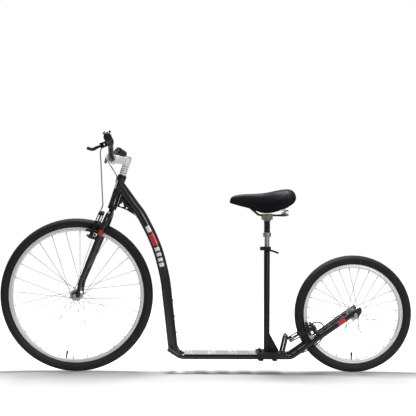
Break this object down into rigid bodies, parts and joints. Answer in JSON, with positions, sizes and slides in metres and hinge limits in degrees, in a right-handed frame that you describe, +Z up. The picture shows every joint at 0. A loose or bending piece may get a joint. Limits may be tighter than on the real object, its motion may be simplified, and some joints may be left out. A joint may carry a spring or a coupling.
{
  "type": "kick bike",
  "caption": "Footbike with a large front wheel, a small rear wheel, a low deck, rim brakes and a bolted-on sprung saddle.",
  "frame": {"origin": "on the ground under the middle of the bike", "axes": "+Z up, -X towards the front wheel, -Y to the rider's left"},
  "size_m": [1.7404, 0.6022, 1.0022],
  "materials": {
    "frame_paint": "gloss",
    "black_metal": "satin",
    "tyre_rubber": "matt",
    "grip_rubber": "matt",
    "rim_alloy": "satin",
    "stem_alloy": "satin",
    "spoke_steel": "bright",
    "seat_steel": "satin",
    "deck_grip": "rough",
    "black_plastic": "matt",
    "cable_cover": "satin",
    "saddle_skin": "satin"
  },
  "bodies": {
    "frame": {"head_tube": "frame_paint", "headset_lower_cup": "black_metal", "headset_upper_cup": "black_metal", "main_tube": "frame_paint", "head_gusset": "frame_paint", "deck_rail_left": "frame_paint", "deck_rail_right": "frame_paint", "front_cross_tube": "frame_paint", "deck_plate": "deck_grip", "heel_hoop": "frame_paint", "rear_axle": "spoke_steel", "seat_foot_plate": "frame_paint", "seat_clamp_front": "black_metal", "seat_clamp_rear": "black_metal", "seat_tube": "frame_paint", "seat_collar": "frame_paint", "rear_brake_cable_lower": "black_plastic", "rear_brake_noodle": "spoke_steel"},
    "steering": {"fork_steerer": "stem_alloy", "fork_leg_left": "frame_paint", "fork_leg_right": "frame_paint", "stem": "stem_alloy", "stem_spacers": "stem_alloy", "handlebar": "black_metal", "bell": "spoke_steel", "grip_left": "grip_rubber", "grip_right": "grip_rubber", "brake_perch_left": "black_metal", "brake_perch_right": "black_metal", "front_axle": "spoke_steel", "front_brake_cable": "cable_cover", "front_brake_noodle": "spoke_steel", "rear_brake_cable_upper": "cable_cover"},
    "front_wheel": {"front_tyre": "tyre_rubber", "front_rim": "rim_alloy", "front_hub_and_spokes": "spoke_steel"},
    "rear_wheel": {"rear_tyre": "tyre_rubber", "rear_rim": "rim_alloy", "rear_hub_and_spokes": "spoke_steel"},
    "brake_lever_left": {"brake_lever_left": "black_metal"},
    "brake_lever_right": {"brake_lever_right": "black_metal"},
    "front_brake_left": {"front_brake_arm_left": "black_metal", "front_brake_pad_left": "grip_rubber"},
    "front_brake_right": {"front_brake_arm_right": "black_metal", "front_brake_pad_right": "grip_rubber"},
    "rear_brake_left": {"rear_brake_arm_left": "black_metal", "rear_brake_pad_left": "grip_rubber"},
    "rear_brake_right": {"rear_brake_arm_right": "black_metal", "rear_brake_pad_right": "grip_rubber"},
    "bell_hammer": {"bell_hammer": "black_plastic"},
    "collar_lever": {"seat_collar_lever": "black_metal"},
    "seatpost_outer": {"seatpost_outer": "seat_steel", "seatpost_boot": "grip_rubber"},
    "seatpost_shaft": {"seatpost_shaft": "seat_steel"},
    "saddle": {"saddle_clamp": "seat_steel", "saddle_rails": "black_metal", "saddle_spring_left": "seat_steel", "saddle_spring_right": "seat_steel", "saddle_base": "black_plastic", "saddle_cover": "saddle_skin"}
  },
  "joints": [
    {"name": "steering_turn", "type": "hinge", "parent": "frame", "child": "steering", "pos_m": [-0.3972, 0, 0.69471], "axis": [0.3007, 0, 0.9537], "range_deg": [-60, 60]},
    {"name": "front_wheel_spin", "type": "hinge", "parent": "steering", "child": "front_wheel", "pos_m": [-0.54675, 0, 0.3235], "axis": [0, 1, 0], "continuous": true},
    {"name": "rear_wheel_spin", "type": "hinge", "parent": "frame", "child": "rear_wheel", "pos_m": [0.62325, 0, 0.247], "axis": [0, 1, 0], "continuous": true},
    {"name": "brake_lever_left_pull", "type": "hinge", "parent": "steering", "child": "brake_lever_left", "pos_m": [-0.42171, -0.153, 0.93831], "axis": [-0.3746, 0, 0.9272], "range_deg": [0, 24], "stiffness_Nm_per_rad": 4, "springref_deg": -2.86},
    {"name": "brake_lever_right_pull", "type": "hinge", "parent": "steering", "child": "brake_lever_right", "pos_m": [-0.42171, 0.153, 0.93831], "axis": [0.3746, 0, -0.9272], "range_deg": [0, 24], "stiffness_Nm_per_rad": 4, "springref_deg": -2.86},
    {"name": "front_brake_left_squeeze", "type": "hinge", "parent": "steering", "child": "front_brake_left", "pos_m": [-0.48346, -0.042, 0.57052], "axis": [-0.9258, 0, 0.3781], "range_deg": [0, 2.4]},
    {"name": "front_brake_right_squeeze", "type": "hinge", "parent": "steering", "child": "front_brake_right", "pos_m": [-0.48346, 0.042, 0.57052], "axis": [0.9258, 0, -0.3781], "range_deg": [0, 2.4]},
    {"name": "rear_brake_left_squeeze", "type": "hinge", "parent": "frame", "child": "rear_brake_left", "pos_m": [0.45358, -0.042, 0.19154], "axis": [0.4909, 0, -0.8712], "range_deg": [0, 2.4]},
    {"name": "rear_brake_right_squeeze", "type": "hinge", "parent": "frame", "child": "rear_brake_right", "pos_m": [0.45358, 0.042, 0.19154], "axis": [-0.4909, 0, 0.8712], "range_deg": [0, 2.4]},
    {"name": "bell_hammer_flick", "type": "hinge", "parent": "steering", "child": "bell_hammer", "pos_m": [-0.39332, -0.134, 0.98472], "axis": [0, -1, 0], "range_deg": [0, 10], "stiffness_Nm_per_rad": 0.05, "springref_deg": -2.86},
    {"name": "collar_lever_open", "type": "hinge", "parent": "frame", "child": "collar_lever", "pos_m": [0.236, -0.0179, 0.522], "axis": [0, 0, -1], "range_deg": [0, 110]},
    {"name": "seat_height", "type": "slide", "parent": "frame", "child": "seatpost_outer", "axis": [0, 0, 1], "range_m": [-0.04, 0.12]},
    {"name": "seat_suspension", "type": "slide", "parent": "seatpost_outer", "child": "seatpost_shaft", "axis": [0, 0, 1], "range_m": [-0.03, 0], "stiffness_N_per_m": 25000, "springref_m": 0.002, "deforming": ["seatpost_boot"]},
    {"name": "saddle_tilt", "type": "hinge", "parent": "seatpost_shaft", "child": "saddle", "pos_m": [0.259, 0, 0.6535], "axis": [0, 1, 0], "range_deg": [-10, 10]}
  ],
  "couplings": [
    {"joint": "front_brake_left_squeeze", "follows": "brake_lever_left_pull", "ratio": 0.1},
    {"joint": "front_brake_right_squeeze", "follows": "brake_lever_left_pull", "ratio": 0.1},
    {"joint": "rear_brake_left_squeeze", "follows": "brake_lever_right_pull", "ratio": 0.1},
    {"joint": "rear_brake_right_squeeze", "follows": "brake_lever_right_pull", "ratio": 0.1}
  ]
}
